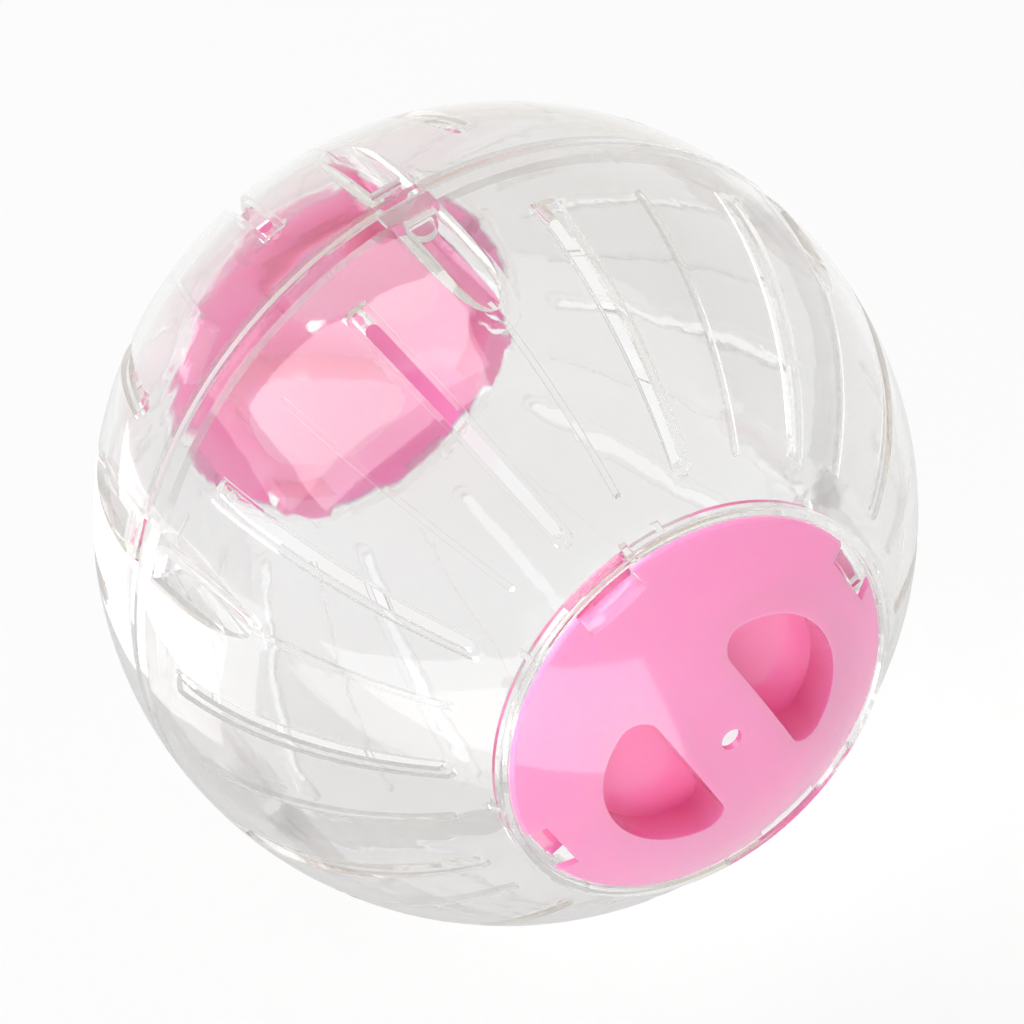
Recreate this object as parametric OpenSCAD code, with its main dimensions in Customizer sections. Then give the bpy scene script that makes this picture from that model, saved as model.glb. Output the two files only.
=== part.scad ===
// Hamster ball: two clear half shells joined at a seam, and two identical twist-off
// lids, one at each end of the ball's axis. Millimetres, +Z up, origin at the ball's
// centre. The axis runs along Y and the front lid faces -Y.
// Each half shell and each lid is drawn with its pole up, along +Z, and then laid over.

/* [Ball] */
// Outer diameter of the ball
ball_d = 140; // [130:1:170]
// Wall thickness of the half shells
shell_wall = 2; // [1.6:0.1:2.6]
// Gap between the seam faces of the two halves
seam_gap = 0.1; // [0.05:0.05:0.3]
// Chamfer on the outer edge of each half at the seam
seam_chamfer = 0.5; // [0.3:0.1:0.8]

/* [Lid opening] */
// Inner diameter of the collar round each lid
collar_d = 69.8; // [64:0.1:74]
// Wall thickness of the collar
collar_wall = 1.7; // [1.2:0.1:2.2]
// How far the collar stands out of the ball at its outside
collar_proud = 2.7; // [2.4:0.1:4]
// Chamfer on both edges of the collar's top
collar_chamfer = 0.4; // [0.2:0.1:0.5]
// Width of the ledge inside the collar that the lid's edge rests on
ledge_w = 1.1; // [0.8:0.1:1.4]
// Number of gussets outside the collar
gusset_count = 8; // [4:1:12]
// How far each gusset reaches out from the collar
gusset_reach = 1; // [0.6:0.1:3]
// Thickness of a gusset
gusset_w = 1; // [0.8:0.1:1.5]

/* [Bayonet] */
// Number of tabs in each opening, and of lugs on each lid
tab_count = 4; // [3:1:4]
// Width of a tab
tab_w = 8.2; // [6:0.1:9]
// How far a tab stands in from the collar
tab_reach = 3; // [2.4:0.1:3.4]
// Thickness of a tab
tab_t = 1.4; // [1.2:0.1:1.8]
// Width of a lug and its leg, and of the window in the lid's edge above it
lug_w = 11.2; // [9:0.1:12]
// Thickness of a lug
lug_t = 1.9; // [1.4:0.1:2.2]
// Clearance between a lug and the tab that it turns under
lug_gap = 0.2; // [0.1:0.05:0.3]
// Width of the stop that ends the turn at each tab
stop_w = 1.2; // [1:0.1:1.6]
// Length of the ramp on the end of a lug that enters first
ramp_w = 2; // [1:0.1:3]
// Height of that ramp
ramp_h = 0.6; // [0.3:0.1:0.8]

/* [Lid] */
// Height of the lid's dome above its edge
lid_rise = 9.6; // [8:0.05:12]
// Thickness of the lid's skin
lid_skin = 1.2; // [1:0.1:1.6]
// How far the lid's edge lies below the top of the collar
lid_sunk = 0.2; // [0.1:0.05:1]
// Radial clearance between the lid and the shell
lid_fit = 0.3; // [0.2:0.05:0.4]
// Chamfer on the lid's outer edge
lid_chamfer = 0.5; // [0.2:0.1:0.8]
// Clearance between the lid's edge and the ledge under it
lid_seat_gap = 0.25; // [0.15:0.05:0.4]
// Wall thickness of the legs that carry the lugs
leg_wall = 1.6; // [1.2:0.1:2]
// Radial clearance between a leg and the tab that it turns past
leg_gap = 0.8; // [0.3:0.1:1]
// Diameter of the hole in the middle of the lid
lid_hole_d = 3.8; // [3:0.1:5]

/* [Finger pockets] */
// Width of the bridge between the two pockets
bridge_w = 15.4; // [13:0.1:18]
// Distance from the lid's middle to the far side of a pocket
pocket_reach = 22.3; // [20:0.1:23]
// Radius of the round side of a pocket
pocket_r = 16.4; // [15:0.1:17.5]
// Radius of the two corners of a pocket
pocket_corner_r = 3.5; // [2.5:0.1:4.5]
// How far the floor of a pocket lies below the lid's edge
pocket_drop = 0.7; // [0:0.1:2]
// Thickness of the pocket's wall and floor
pocket_wall = 1.6; // [1.2:0.1:2]

/* [Vents] */
// Number of vent slots in each half
vent_count = 12; // [8:1:12]
// Width of the recess round a slot, at its end near the lid
vent_tip_w = 3.2; // [2.6:0.1:3.6]
// Width of the recess round a slot, at its end near the seam
vent_foot_w = 4.7; // [4:0.1:5.6]
// Distance of the recess from the ball's axis, at its end near the lid
vent_start = 41.1; // [39:0.1:46]
// Distance from the recess's other end to the ball's greatest radius
vent_end_gap = 1.3; // [1.1:0.1:2.5]
// Depth of the recess
vent_recess = 1; // [0.6:0.1:1.2]
// Width of the open slot in the floor of the recess, at its end near the lid
slot_tip_w = 1.9; // [1.5:0.1:2.3]
// Width of the open slot at its end near the seam
slot_foot_w = 2.5; // [1.9:0.1:3]
// How far the open slot's end near the lid stands back from the end of the recess
slot_tip_step = 0.85; // [0.6:0.05:1.5]
// How far the open slot's end near the seam stands back from the end of the recess
slot_foot_step = 1.8; // [1.4:0.1:4]
// Width of the thin ribs inside, between the slots
rib_w = 1; // [0.8:0.1:1.6]
// Height of the thin ribs
rib_h = 0.8; // [0.5:0.1:1.2]
// How far a rib's end near the seam stands back from the end of a recess
rib_foot_step = 2.6; // [2.2:0.1:4]

/* [Latches] */
// Number of latches round the seam
latch_count = 6; // [3:1:6]
// Width of the round-bottomed pocket on each side of a latch
latch_pocket_w = 5.6; // [4.8:0.1:6.2]
// Depth of the pocket at the seam's own radius
latch_pocket_depth = 6; // [5:0.1:7]
// Distance from the seam to the start of the pocket
latch_pocket_start = 5.5; // [5:0.1:7]
// Wall thickness round the pocket
latch_wall = 1.6; // [1.2:0.1:2]
// Width of the tongue
tongue_w = 8.2; // [7:0.1:9]
// Thickness of the tongue
tongue_t = 1.3; // [1:0.1:1.6]
// Width of the tongue's nose
nose_w = 3.6; // [3:0.1:4]
// How far the nose reaches into the pocket of the front half
nose_reach = 2.5; // [1.5:0.1:4]
// Clearance round the tongue
tongue_gap = 0.4; // [0.3:0.05:0.5]
// How far the tongue is rooted along the rear half
tongue_root = 6; // [5:0.5:9]

/* [Spigot] */
// How far the front half's spigot reaches into the rear half
spigot_reach = 3.5; // [2.5:0.1:4]
// Thickness of the spigot
spigot_t = 1.2; // [1:0.1:1.5]
// Radial clearance between the spigot and the rear half
spigot_fit = 0.3; // [0.2:0.05:0.4]
// How far the spigot is rooted along the front half
spigot_root = 3; // [2.5:0.1:4]

/* [Pose of the halves] */
// How far the whole ball is rolled about its axis
ball_turn = 0.8; // [0:0.1:30]
// Angle of the bayonet tabs in the front opening
front_tab_turn = 28.1; // [0:0.1:89]
// Angle of the bayonet tabs in the rear opening
rear_tab_turn = 61.7; // [0:0.1:89]
// How far the front lid is turned from its stop
front_lid_turn = 0; // [0:1:60]
// How far the rear lid is turned from its stop
rear_lid_turn = 44; // [20:1:60]

/* [Hidden] */
$fn = 96;

// Overrun of a cut past the face that it leaves
over = 1;
// How far the flat window above a lug is let into the leg's round side
window_bite = 0.3;
// Least overlap of a feature with the wall that carries it
bite = 0.5;

ball_r = ball_d / 2;
inner_r = ball_r - shell_wall;

// Lid opening, from the outside in
collar_in_r = collar_d / 2;
collar_out_r = collar_in_r + collar_wall;
ledge_in_r = collar_in_r - ledge_w;
tab_in_r = collar_in_r - tab_reach;
collar_foot_z = sphere_z(inner_r, collar_out_r);
collar_top_z = sphere_z(ball_r, collar_out_r) + collar_proud;

// Lid, from its edge
lid_r = collar_in_r - lid_fit;
lid_edge_z = collar_top_z - lid_sunk;
dome_r = (pow(lid_r, 2) + pow(lid_rise, 2)) / (2 * lid_rise);
dome_z = lid_edge_z + lid_rise - dome_r;
dome_in_r = dome_r - lid_skin;
lid_under_z = dome_z + sphere_z(dome_in_r, lid_r);
leg_r = tab_in_r - leg_gap;
lug_r = ledge_in_r - lid_fit / 2;

// Heights in the opening, from the lid's seat down
ledge_top_z = lid_under_z - lid_seat_gap;
tab_under_z = ledge_top_z - tab_t;
lug_top_z = tab_under_z - lug_gap;
lug_under_z = lug_top_z - lug_t;
pocket_floor_z = lid_edge_z - pocket_drop;

// Angles that follow from widths, in degrees
tab_half_angle = asin(tab_w / 2 / tab_in_r);
lug_half_angle = asin(lug_w / 2 / tab_in_r);
stop_clear_angle = asin(lid_fit / lug_r);
stop_angle = asin(stop_w / tab_in_r);
locked_angle = lug_half_angle + stop_clear_angle - tab_half_angle;
vent_pitch = 360 / vent_count;

// Angles of the first latch in each half, and of the first gusset
front_latch_angle = 45;
rear_latch_angle = 15;
gusset_angle = 10.7;

// Vent slot, as distances from the ball's axis
vent_end = ball_r - vent_end_gap;
vent_floor_r = ball_r - vent_recess;
vent_foot_z = sphere_z(ball_r, vent_end);
slot_start = vent_start + slot_tip_step;
slot_end = vent_end - slot_foot_step;
rib_end = vent_end - rib_foot_step;

// Latch, as distances from the ball's axis
pocket_axis_r = ball_r - latch_pocket_depth + latch_pocket_w / 2;
tongue_out_r = sphere_z(inner_r, latch_pocket_start) - tongue_gap;
tongue_in_r = tongue_out_r - tongue_t;
tongue_reach = latch_pocket_start - latch_wall - tongue_gap;
tongue_corner_r = tongue_w / 4;

// Spigot, as distances from the ball's axis
spigot_out_r = sphere_z(inner_r, spigot_reach) - spigot_fit;
spigot_in_r = spigot_out_r - spigot_t;

// Height on a sphere of radius r at distance d from its vertical axis
function sphere_z(r, d) = sqrt(pow(r, 2) - pow(d, 2));

// Copies its children round the axis
module around(count, first = 0) {
    for (i = [0 : count - 1]) rotate([0, 0, first + i * 360 / count]) children();
}

// A ring, or with no inner radius a disc, between two heights
module ring(r_out, r_in, z_low, z_high) {
    translate([0, 0, z_low]) difference() {
        cylinder(r = r_out, h = z_high - z_low);
        if (r_in > 0) translate([0, 0, -over]) cylinder(r = r_in, h = z_high - z_low + 2 * over);
    }
}

// A bar that starts at the axis and runs along +X, with its low face at a height
module bar(w, z_low, z_high) {
    translate([0, -w / 2, z_low]) cube([ball_d, w, z_high - z_low]);
}

// A ring that chamfers an edge turned round the axis. Its sloped side goes through two
// points, each given as a radius and a height, and it holds the corner given last.
module edge_cut(a, b, corner) {
    rotate_extrude() polygon([2 * a - b, 2 * b - a, corner]);
}

// The hollow ball of a half shell, with the solid disc from which its collar is cut
module shell_wall_shape() {
    difference() {
        union() {
            sphere(r = ball_r, $fn = 192);
            ring(collar_out_r, 0, collar_foot_z, collar_top_z);
        }
        sphere(r = inner_r, $fn = 192);
    }
}

// Distance from the axis after a walk along the ball's face, away from the axis if
// positive, that starts at distance d
function along_face(d, walk) = ball_r * sin(asin(d / ball_r) + walk / ball_r * 180 / PI);

// A vent's outline, extruded along the axis. Its ends are round on the ball's face, so
// seen along the axis they are ellipses, flatter where the face is steeper.
module vent_prism(start, end, tip_w, foot_w, z_low) {
    tip_x = along_face(start, tip_w / 2);
    foot_x = along_face(end, -foot_w / 2);
    translate([0, 0, z_low]) {
        linear_extrude(height = ball_d) polygon([
            [tip_x, -tip_w / 2],
            [foot_x, -foot_w / 2],
            [foot_x, foot_w / 2],
            [tip_x, tip_w / 2]
        ]);
        translate([tip_x, 0, 0]) scale([tip_x - start, tip_w / 2, 1]) cylinder(r = 1, h = ball_d);
        translate([foot_x, 0, 0]) scale([end - foot_x, foot_w / 2, 1]) cylinder(r = 1, h = ball_d);
    }
}

// The recess of a vent, moulded straight along the axis, and the open slot in its floor.
// The recess has the height of its own foot as its lowest level, so it runs out there.
module vent_cut() {
    difference() {
        vent_prism(vent_start, vent_end, vent_tip_w, vent_foot_w, vent_foot_z);
        sphere(r = vent_floor_r, $fn = 192);
    }
    vent_prism(slot_start, slot_end, slot_tip_w, slot_foot_w, spigot_root + over);
}

// A thin rib on the inside of the wall, between two vents
module inner_rib() {
    intersection() {
        difference() {
            sphere(r = inner_r + bite, $fn = 192);
            sphere(r = inner_r - rib_h, $fn = 192);
        }
        union() {
            translate([vent_start, -rib_w / 2, vent_foot_z])
                cube([rib_end - vent_start, rib_w, ball_d]);
            translate([rib_end, 0, vent_foot_z]) cylinder(r = rib_w / 2, h = ball_d, $fn = 24);
        }
    }
}

// The round-bottomed space of a latch pocket, or that space grown by a wall
module latch_space(grow, start) {
    r = latch_pocket_w / 2 + grow;
    translate([pocket_axis_r, 0, start]) {
        cylinder(r = r, h = ball_d);
        translate([0, -r, 0]) cube([ball_d, 2 * r, ball_d]);
    }
}

// The wall that carries a latch pocket inside the shell
module latch_blister() {
    intersection() {
        latch_space(latch_wall, latch_pocket_start - latch_wall);
        sphere(r = ball_r, $fn = 192);
    }
}

// A gusset between the collar and the ball, seen from its side as a triangle
module gusset() {
    foot_r = collar_out_r + gusset_reach;
    rotate([90, 0, 0]) linear_extrude(height = gusset_w, center = true) polygon([
        [collar_out_r - bite, collar_foot_z],
        [foot_r, sphere_z(ball_r, foot_r) - bite],
        [foot_r, sphere_z(ball_r, foot_r) + bite],
        [collar_out_r - bite, collar_top_z - collar_chamfer]
    ]);
}

// A bayonet tab, and the stop that hangs from its end
module bayonet_tab() {
    intersection() {
        ring(collar_in_r + bite, tab_in_r, tab_under_z, ledge_top_z);
        bar(tab_w, tab_under_z, ledge_top_z);
    }
    intersection() {
        ring(collar_in_r + bite, tab_in_r, lug_under_z, ledge_top_z);
        rotate([0, 0, -tab_half_angle - stop_angle / 2]) bar(stop_w, lug_under_z, ledge_top_z);
    }
}

// What both half shells share, with the pole up
module half_shell(tab_turn, latch_angle) {
    difference() {
        union() {
            shell_wall_shape();
            around(latch_count, latch_angle) latch_blister();
            around(gusset_count, gusset_angle) gusset();
            difference() {
                around(vent_count, vent_pitch / 2) inner_rib();
                around(latch_count, latch_angle) latch_space(latch_wall / 2, 0);
            }
        }
        ring(ledge_in_r, 0, 0, ball_d);
        ring(collar_in_r, 0, ledge_top_z, ball_d);
        around(vent_count) vent_cut();
        around(latch_count, latch_angle) latch_space(0, latch_pocket_start);
        ring(ball_d, 0, -ball_d, seam_gap / 2);
        edge_cut(
            [ball_r - seam_chamfer, seam_gap / 2],
            [ball_r, seam_gap / 2 + seam_chamfer],
            [ball_r + seam_chamfer, seam_gap / 2 - seam_chamfer]
        );
        edge_cut(
            [collar_out_r - collar_chamfer, collar_top_z],
            [collar_out_r, collar_top_z - collar_chamfer],
            [collar_out_r + collar_chamfer, collar_top_z + collar_chamfer]
        );
        edge_cut(
            [collar_in_r + collar_chamfer, collar_top_z],
            [collar_in_r, collar_top_z - collar_chamfer],
            [collar_in_r - collar_chamfer, collar_top_z + collar_chamfer]
        );
    }
    around(tab_count, tab_turn) bayonet_tab();
}

// The front half's spigot, cut away at the latches
module spigot() {
    difference() {
        union() {
            ring(spigot_out_r, spigot_in_r, -spigot_reach, spigot_root);
            intersection() {
                ring(ball_r, spigot_in_r, seam_gap / 2, spigot_root);
                sphere(r = inner_r + bite, $fn = 192);
            }
        }
        around(latch_count, front_latch_angle)
            bar(tongue_w + 2 * tongue_gap, -spigot_reach - over, spigot_root + over);
    }
}

// A flat plate square to a radius, from its outline as seen from outside
module radial_plate(r_in, r_out) {
    translate([r_in, 0, 0]) rotate([0, 90, 0]) linear_extrude(height = r_out - r_in) children();
}

// A latch tongue of the rear half: a plate with round corners and a narrow nose
module tongue() {
    radial_plate(tongue_in_r, tongue_out_r) {
        translate([-tongue_root, -tongue_w / 2])
            square([tongue_root + tongue_reach - tongue_corner_r, tongue_w]);
        translate([-tongue_root, tongue_corner_r - tongue_w / 2])
            square([tongue_root + tongue_reach, tongue_w - 2 * tongue_corner_r]);
        for (side = [-1, 1]) translate([
            tongue_reach - tongue_corner_r,
            side * (tongue_w / 2 - tongue_corner_r)
        ]) circle(r = tongue_corner_r);
        translate([0, -nose_w / 2])
            square([latch_pocket_start + nose_reach - nose_w / 2, nose_w]);
        translate([latch_pocket_start + nose_reach - nose_w / 2, 0]) circle(r = nose_w / 2);
    }
    intersection() {
        translate([tongue_in_r, -tongue_w / 2, seam_gap / 2])
            cube([ball_r, tongue_w, tongue_root - seam_gap / 2]);
        sphere(r = inner_r + bite, $fn = 192);
    }
}

// The window through the end wall of a latch pocket, for the tongue's nose
module nose_window() {
    w = nose_w + 2 * tongue_gap;
    translate([tongue_in_r - tongue_gap, -w / 2, latch_pocket_start - latch_wall - over])
        cube([tongue_t + 2 * tongue_gap, w, latch_wall + 2 * over]);
}

// Points along an arc, at even angles
function arc(x, y, r, from, to, steps) =
    [for (i = [0 : steps]) let (a = from + (to - from) * i / steps) [x + r * cos(a), y + r * sin(a)]];

// The space of one finger pocket, or that space grown by a wall: a D with round corners
module pocket_space(grow, z_low) {
    arc_x = pocket_reach - pocket_r;
    corner_x = bridge_w / 2 + pocket_corner_r;
    corner_y = sphere_z(pocket_r - pocket_corner_r, corner_x - arc_x);
    corner_angle = atan2(corner_y, corner_x - arc_x);
    corner_r = pocket_corner_r + grow;
    translate([0, 0, z_low]) linear_extrude(height = ball_d) polygon(concat(
        arc(corner_x, -corner_y, corner_r, 180, 360 - corner_angle, 12),
        arc(arc_x, 0, pocket_r + grow, -corner_angle, corner_angle, 28),
        arc(corner_x, corner_y, corner_r, corner_angle, 180, 12)
    ));
}

// The wedge cut from the end of a lug, so that it slides in under its tab
module lug_ramp() {
    end = -lug_w / 2;
    rotate([90, 0, 90]) linear_extrude(height = ball_d) polygon([
        [end - ramp_w, lug_top_z - 2 * ramp_h],
        [end + 2 * ramp_w, lug_top_z + ramp_h],
        [end - ramp_w, lug_top_z + ramp_h]
    ]);
}

// One lid with its pole up, its bridge along Y, and a lug at each end of X and Y
module lid() {
    difference() {
        union() {
            intersection() {
                translate([0, 0, dome_z]) difference() {
                    sphere(r = dome_r, $fn = 192);
                    sphere(r = dome_in_r, $fn = 192);
                }
                ring(lid_r, 0, ledge_top_z, ball_d);
            }
            intersection() {
                translate([0, 0, dome_z]) sphere(r = dome_in_r + bite, $fn = 192);
                union() {
                    intersection() {
                        ring(leg_r, leg_r - leg_wall, lug_under_z, ball_d);
                        around(tab_count) bar(lug_w, lug_under_z, ball_d);
                    }
                    for (turn = [0, 180]) rotate([0, 0, turn])
                        pocket_space(pocket_wall, pocket_floor_z - pocket_wall);
                }
            }
            intersection() {
                ring(lug_r, leg_r - bite, lug_under_z, lug_top_z);
                around(tab_count) difference() {
                    bar(lug_w, lug_under_z, lug_top_z);
                    lug_ramp();
                }
            }
        }
        for (turn = [0, 180]) rotate([0, 0, turn]) pocket_space(0, pocket_floor_z);
        ring(lid_hole_d / 2, 0, pocket_floor_z, ball_d);
        around(tab_count) translate([leg_r - window_bite, -lug_w / 2, lug_top_z])
            cube([ball_d, lug_w, ball_d]);
        edge_cut(
            [lid_r, lid_edge_z - lid_chamfer],
            [lid_r - lid_chamfer, dome_z + sphere_z(dome_r, lid_r - lid_chamfer)],
            [lid_r + lid_chamfer, lid_edge_z + lid_rise]
        );
    }
}

// Lays a half with its pole up over to the front or to the rear
module to_front() { rotate([90, 0, 0]) rotate([0, 0, ball_turn]) children(); }
module to_rear() { rotate([-90, 0, 0]) rotate([0, 0, -ball_turn]) children(); }

module shell_front() {
    color([0.93, 0.93, 0.92, 0.35]) to_front() {
        difference() {
            half_shell(front_tab_turn, front_latch_angle);
            around(latch_count, front_latch_angle) nose_window();
        }
        spigot();
    }
}

module shell_rear() {
    color([0.93, 0.93, 0.92, 0.35]) to_rear() {
        half_shell(rear_tab_turn, rear_latch_angle);
        around(latch_count, rear_latch_angle) tongue();
    }
}

module lid_front() {
    color([0.98, 0.6, 0.78]) to_front()
        rotate([0, 0, front_tab_turn + locked_angle + front_lid_turn]) lid();
}

module lid_rear() {
    color([0.98, 0.6, 0.78]) to_rear()
        rotate([0, 0, rear_tab_turn + locked_angle + rear_lid_turn]) lid();
}

shell_front();
shell_rear();
lid_front();
lid_rear();
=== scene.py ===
import bpy
import math
from mathutils import Vector, Matrix

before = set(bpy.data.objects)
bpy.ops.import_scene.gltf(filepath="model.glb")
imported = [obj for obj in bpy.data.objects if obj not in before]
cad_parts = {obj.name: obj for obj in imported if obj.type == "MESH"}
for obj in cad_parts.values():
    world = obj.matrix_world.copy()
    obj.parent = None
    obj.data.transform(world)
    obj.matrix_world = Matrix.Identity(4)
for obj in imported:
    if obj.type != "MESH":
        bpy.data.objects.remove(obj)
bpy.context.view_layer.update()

scene = bpy.context.scene
scene.view_settings.view_transform = "Standard"

# Lengths are in metres, angles in degrees unless said
MM = 0.001
BALL_R = 70 * MM
WHITE = (1.0, 1.0, 1.0, 1.0)

# Clear styrene
CLEAR_IOR = 1.58
CLEAR_TINTS = (0.955, 0.957, 0.96, 1), (0.97, 0.972, 0.975, 1)
CLEAR_ROUGH = 0.015, 0.07
FLOW_SCALE, FLOW_BEND, FLOW_DEPTH = 38.0, 1.6, 0.6 * MM
RIPPLE_SCALE, RIPPLE_BEND, RIPPLE_DEPTH = 150.0, 0.8, 0.1 * MM
SCUFF_SCALE = 900.0
FAR_WALL = (0.94, 0.94, 0.94, 1)
FAR_SHARE = 0.8
SHADOW_WALL = (0.985, 0.985, 0.985, 1)
MIRROR_LIMIT, BOUNCE_LIMIT = 2.5, 9.5
BODY_COLOUR, BODY_DENSITY = (0.84, 0.66, 0.46, 1), 7.0

# Pink polypropylene
PINK_IOR = 1.49
PINK_SHADES = (0.985, 0.290, 0.500, 1), (0.995, 0.310, 0.520, 1)
PINK_ROUGH = 0.10, 0.16
CLOUD_SCALE = 45.0
GRAIN_SCALE, GRAIN_DEPTH = 1400.0, 0.1 * MM
EDGE_R = 0.35 * MM
PINK_GLOW, PINK_REACH = 0.5, (18 * MM, 1.5 * MM, 5 * MM)

# Floor
FLOOR_R = 3.0
PAPER_SHADES = (0.965, 0.965, 0.965, 1), (0.98, 0.98, 0.98, 1)
PAPER_GLOW, PAPER_GLOW_SHARE = (0.972, 0.972, 0.972, 1), 0.85
# Painted shadow: the floor seen in reflections is dimmed to this level near the ball
NEAR_R, FAR_R, PAINTED_SHADOW_LEVEL = 0.12, 0.28, 0.68

# Camera
AZIMUTH, ELEVATION, DISTANCE = math.radians(-29.8), math.radians(34.9), 0.665
FOCAL_PX, FRAME_PX = 3901.7, 1024
SHIFT_X_PX, SHIFT_Y_PX = 6.6, 1.2
SENSOR_MM = 36.0
CLIP_START = 0.01

# Room
PANEL_LIFT = 2 * MM
WALL_TOP, CEILING_FROM = 0.35, 0.6
CEILING = (0.78, 0.72, 0.64, 1)
AMBIENT, AMBIENT_LEVEL = (1.0, 0.99, 0.98, 1), 0.56


class Nodes:
    """A material's or world's node tree, with short calls to add and join nodes."""

    def __init__(self, tree):
        self.tree = tree
        tree.nodes.clear()

    def add(self, kind, **values):
        node = self.tree.nodes.new(kind)
        for name, value in values.items():
            setattr(node, name, value)
        return node

    def put(self, node, **inputs):
        """Sets inputs of a node, by name or as _ and a place, to a value or to a socket."""
        for name, value in inputs.items():
            socket = node.inputs[int(name[1:])] if name[0] == "_" else node.inputs[name]
            if isinstance(value, bpy.types.NodeSocket):
                self.tree.links.new(value, socket)
            else:
                socket.default_value = value
        return node

    def math(self, operation, a, b, clamp=False):
        node = self.add("ShaderNodeMath", operation=operation, use_clamp=clamp)
        return self.put(node, _0=a, _1=b).outputs[0]

    def noise(self, where, scale, detail=2.0, rough=0.5, distort=0.0):
        node = self.add("ShaderNodeTexNoise")
        self.put(node, Vector=where, Scale=scale, Detail=detail, Roughness=rough)
        return self.put(node, Distortion=distort).outputs["Fac"]

    def remap(self, value, low, high, to_low, to_high):
        node = self.add("ShaderNodeMapRange")
        self.put(node, _0=value, _1=low, _2=high, _3=to_low, _4=to_high)
        return node.outputs[0]

    def bump(self, height, strength, depth, normal=None):
        node = self.add("ShaderNodeBump")
        self.put(node, Height=height, Strength=strength, Distance=depth)
        if normal:
            self.put(node, Normal=normal)
        return node.outputs[0]

    def colour_between(self, fac, a, b):
        node = self.add("ShaderNodeMix", data_type="RGBA")
        return self.put(node, _0=fac, _6=a, _7=b).outputs[2]

    def shader_between(self, fac, a, b):
        node = self.add("ShaderNodeMixShader")
        return self.put(node, _0=fac, _1=a, _2=b).outputs[0]

    def place(self, **shift):
        """The object's own coordinates, shifted so that two pieces don't look alike."""
        where = self.add("ShaderNodeTexCoord").outputs["Object"]
        return self.put(self.add("ShaderNodeMapping"), Vector=where, **shift).outputs[0]

    def rays_to_the_eye(self, path):
        """1 for rays from the camera, and for those that a surface mirrors or lets through."""
        seen = self.math("MAXIMUM", path["Is Camera Ray"], path["Is Glossy Ray"])
        return self.math("MAXIMUM", seen, path["Is Transmission Ray"])


def new_material(name):
    mat = bpy.data.materials.new(name)
    mat.use_nodes = True
    return mat, Nodes(mat.node_tree)


# Materials
def clear_plastic(name, seed):
    """Moulded clear styrene: bends light, warm at its limb, with flow lines and fine scuffs.

    A far wall, seen through a near one, mostly lets the light straight through, and so does
    every wall for shadows and for light that has bounced too often.
    """
    mat, n = new_material(name)
    where = n.place(Location=(seed, 0.0, 0.0))
    flow = n.noise(where, FLOW_SCALE, 1.0, 0.4, FLOW_BEND)
    ripple = n.noise(where, RIPPLE_SCALE, 2.0, 0.5, RIPPLE_BEND)
    scuff = n.noise(where, SCUFF_SCALE, 3.0, 0.6)
    waves = n.bump(ripple, 0.15, RIPPLE_DEPTH, n.bump(flow, 0.2, FLOW_DEPTH))
    glass = n.put(n.add("ShaderNodeBsdfPrincipled"), **{
        "Base Color": n.colour_between(n.remap(flow, 0.3, 0.7, 0.0, 1.0), *CLEAR_TINTS),
        "Roughness": n.remap(scuff, 0.35, 0.75, *CLEAR_ROUGH),
        "IOR": CLEAR_IOR, "Transmission Weight": 1.0, "Normal": waves,
    })
    far = n.put(n.add("ShaderNodeBsdfTransparent"), Color=FAR_WALL)
    lit = n.put(n.add("ShaderNodeBsdfTransparent"), Color=SHADOW_WALL)
    path = n.add("ShaderNodeLightPath").outputs
    trapped = n.math("GREATER_THAN", path["Glossy Depth"], MIRROR_LIMIT)
    beyond = n.remap(path["Ray Depth"], 1.4, 1.6, 0.0, FAR_SHARE)
    deep = n.math("MAXIMUM", beyond, n.math("GREATER_THAN", path["Ray Depth"], BOUNCE_LIMIT))
    straight = n.math("MAXIMUM", trapped, deep)
    seen = n.shader_between(straight, glass.outputs[0], far.outputs[0])
    body = n.put(n.add("ShaderNodeVolumeAbsorption"), Color=BODY_COLOUR, Density=BODY_DENSITY)
    n.put(
        n.add("ShaderNodeOutputMaterial"),
        Surface=n.shader_between(path["Is Shadow Ray"], seen, lit.outputs[0]),
        Volume=body.outputs[0],
    )
    return mat


def pink_plastic(name, seed):
    """Pink polypropylene: satin gloss, faint moulding texture and slow changes of shade."""
    mat, n = new_material(name)
    where = n.place(Location=(0.0, seed, 0.0))
    cloud = n.noise(where, CLOUD_SCALE)
    grain = n.noise(where, GRAIN_SCALE, 2.0, 0.6)
    edge = n.put(n.add("ShaderNodeBevel", samples=6), Radius=EDGE_R).outputs[0]
    shader = n.put(n.add("ShaderNodeBsdfPrincipled"), **{
        "Base Color": n.colour_between(n.remap(cloud, 0.3, 0.7, 0.0, 1.0), *PINK_SHADES),
        "Roughness": n.remap(grain, 0.3, 0.7, *PINK_ROUGH),
        "IOR": PINK_IOR, "Normal": n.bump(grain, 0.12, GRAIN_DEPTH, edge),
        "Subsurface Weight": PINK_GLOW, "Subsurface Radius": PINK_REACH,
        "Subsurface Scale": 1.0, "Coat Weight": 1.0, "Coat Roughness": 0.05,
    })
    n.put(n.add("ShaderNodeOutputMaterial"), Surface=shader.outputs[0])
    return mat


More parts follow.
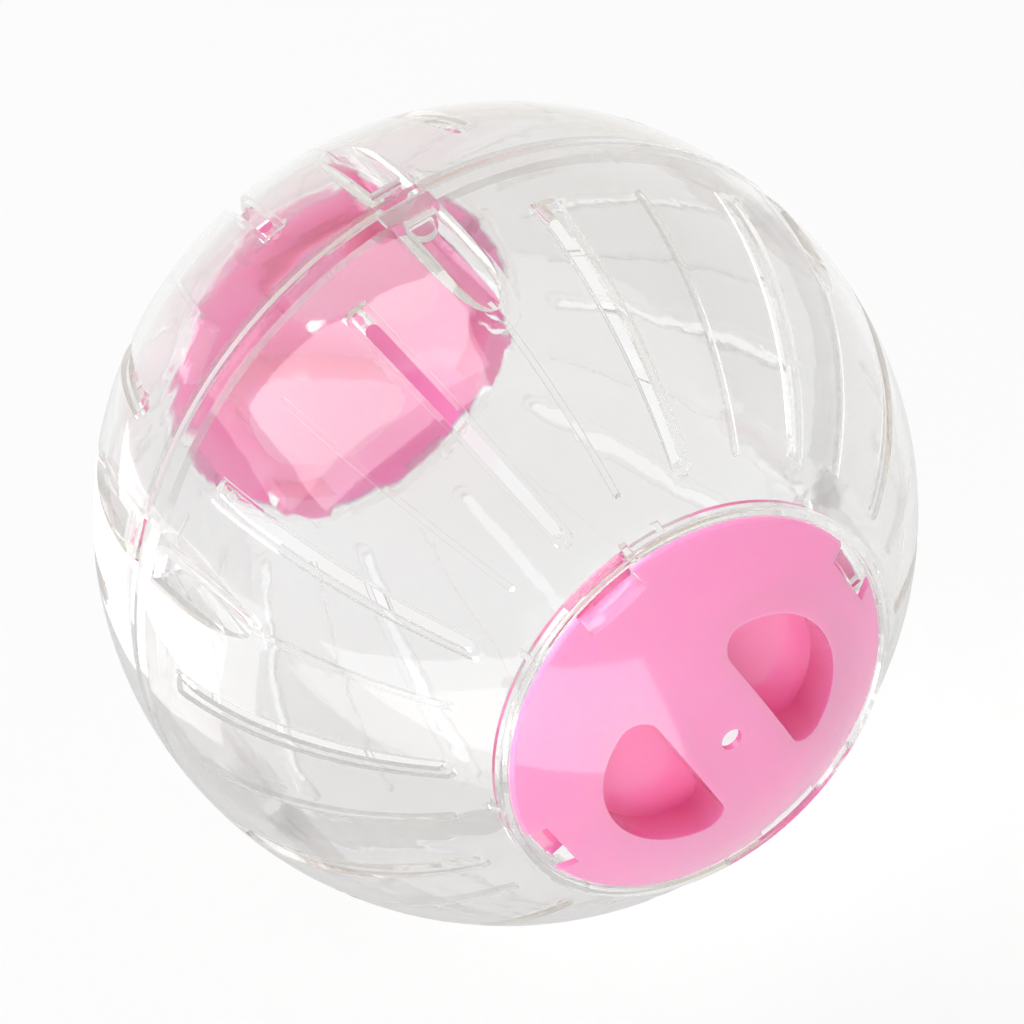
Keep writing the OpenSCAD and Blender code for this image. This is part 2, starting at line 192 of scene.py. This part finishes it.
def floor_material():
    """White paper that keeps the object's shadow. In reflections it also carries a painted
    shadow that makes it greyer near the ball.
    """
    mat, n = new_material("floor_paper")
    where = n.add("ShaderNodeTexCoord").outputs["Object"]
    colour = n.colour_between(n.noise(where, 3.0), *PAPER_SHADES)
    paper = n.put(n.add("ShaderNodeBsdfPrincipled"), **{"Base Color": colour, "Roughness": 0.9})
    apart = n.put(n.add("ShaderNodeVectorMath", operation="LENGTH"), _0=where).outputs["Value"]
    path = n.add("ShaderNodeLightPath").outputs
    mirrored = n.math("SUBTRACT", path["Is Glossy Ray"], path["Is Transmission Ray"], True)
    # Painted shadow: for mirrored rays the floor's glow is dimmed near the ball, where its
    # shadow falls
    shadowed_glow_strength = n.remap(mirrored, 0.0, 1.0, 1.0, n.remap(apart, NEAR_R, FAR_R, PAINTED_SHADOW_LEVEL, 1.0))
    glow = n.put(n.add("ShaderNodeEmission"), Color=PAPER_GLOW, Strength=shadowed_glow_strength)
    share = n.math("MULTIPLY", n.rays_to_the_eye(path), PAPER_GLOW_SHARE)
    surface = n.shader_between(share, paper.outputs[0], glow.outputs[0])
    n.put(n.add("ShaderNodeOutputMaterial"), Surface=surface)
    return mat


def dress(node, material):
    """Gives every slot of a CAD node's object a material."""
    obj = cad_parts[node]
    if not obj.material_slots:
        obj.data.materials.append(material)
    for slot in obj.material_slots:
        slot.material = material


dress("shell_front", clear_plastic("clear_front", 0.11))
dress("shell_rear", clear_plastic("clear_rear", 0.37))
dress("lid_front", pink_plastic("pink_front", 0.05))
dress("lid_rear", pink_plastic("pink_rear", 0.4))


# Floor
bpy.ops.mesh.primitive_circle_add(
    vertices=96, radius=FLOOR_R, fill_type="NGON", location=(0, 0, -BALL_R))
floor = bpy.context.object
floor.name = "floor"
floor.data.materials.append(floor_material())


# Camera
def direction(azimuth, elevation):
    """A unit vector from the ball, with the angles in radians. Azimuth 0 is in front, at -Y."""
    return Vector((
        math.sin(azimuth) * math.cos(elevation),
        -math.cos(azimuth) * math.cos(elevation),
        math.sin(elevation),
    ))


BACK = direction(AZIMUTH, ELEVATION)
camera_data = bpy.data.cameras.new("camera")
camera = bpy.data.objects.new("camera", camera_data)
scene.collection.objects.link(camera)
camera.location = BACK * DISTANCE
camera.rotation_euler = BACK.to_track_quat("Z", "Y").to_euler()
camera_data.sensor_width = SENSOR_MM
camera_data.lens = FOCAL_PX / FRAME_PX * camera_data.sensor_width
camera_data.shift_x = SHIFT_X_PX / FRAME_PX
camera_data.shift_y = SHIFT_Y_PX / FRAME_PX
camera_data.clip_start = CLIP_START
scene.camera = camera


# Light
def panel_light(name, width, height, radiance, location, rotation):
    """A rectangular area light of an even radiance."""
    data = bpy.data.lights.new(name, "AREA")
    data.shape = "RECTANGLE"
    data.size, data.size_y = width, height
    data.energy = radiance * math.pi * width * height
    obj = bpy.data.objects.new(name, data)
    obj.location = location
    obj.rotation_euler = rotation
    scene.collection.objects.link(obj)


def softbox(name, azimuth, elevation, distance, width, height, radiance, roll):
    """A light that faces the ball."""
    towards = direction(math.radians(azimuth), math.radians(elevation))
    turn = Matrix.Rotation(math.radians(roll), 3, "Z").to_quaternion()
    rotation = (towards.to_track_quat("Z", "Y") @ turn).to_euler()
    panel_light(name, width, height, radiance, towards * distance, rotation)


def floor_panel(name, x, y, width, depth, radiance):
    """A light that lies on the floor and shines up."""
    location = (x, y, -BALL_R + PANEL_LIFT)
    panel_light(name, width, depth, radiance, location, (math.pi, 0.0, 0.0))


softbox("softbox_left", azimuth=-101.9, elevation=52.7, distance=2.0,
        width=1.5, height=2.1, radiance=3.0, roll=-4.0)
floor_panel("panel_front", x=-0.29, y=-0.55, width=0.62, depth=0.8, radiance=1.6)
floor_panel("panel_left", x=-0.45, y=0.17, width=0.60, depth=0.36, radiance=1.6)

world = bpy.data.worlds.new("studio")
scene.world = world
world.use_nodes = True
w = Nodes(world.node_tree)
looking = w.add("ShaderNodeTexCoord").outputs["Generated"]
height = w.put(w.add("ShaderNodeSeparateXYZ"), Vector=looking).outputs[2]
ceiling = w.remap(height, WALL_TOP, CEILING_FROM, 0.0, 1.0)
shown = w.colour_between(ceiling, WHITE, CEILING)
to_eye = w.rays_to_the_eye(w.add("ShaderNodeLightPath").outputs)
ambient = w.put(w.add("ShaderNodeBackground"), Color=AMBIENT, Strength=AMBIENT_LEVEL)
backdrop = w.put(w.add("ShaderNodeBackground"), Color=shown, Strength=1.0)
surface = w.shader_between(to_eye, ambient.outputs[0], backdrop.outputs[0])
w.put(w.add("ShaderNodeOutputWorld"), Surface=surface)
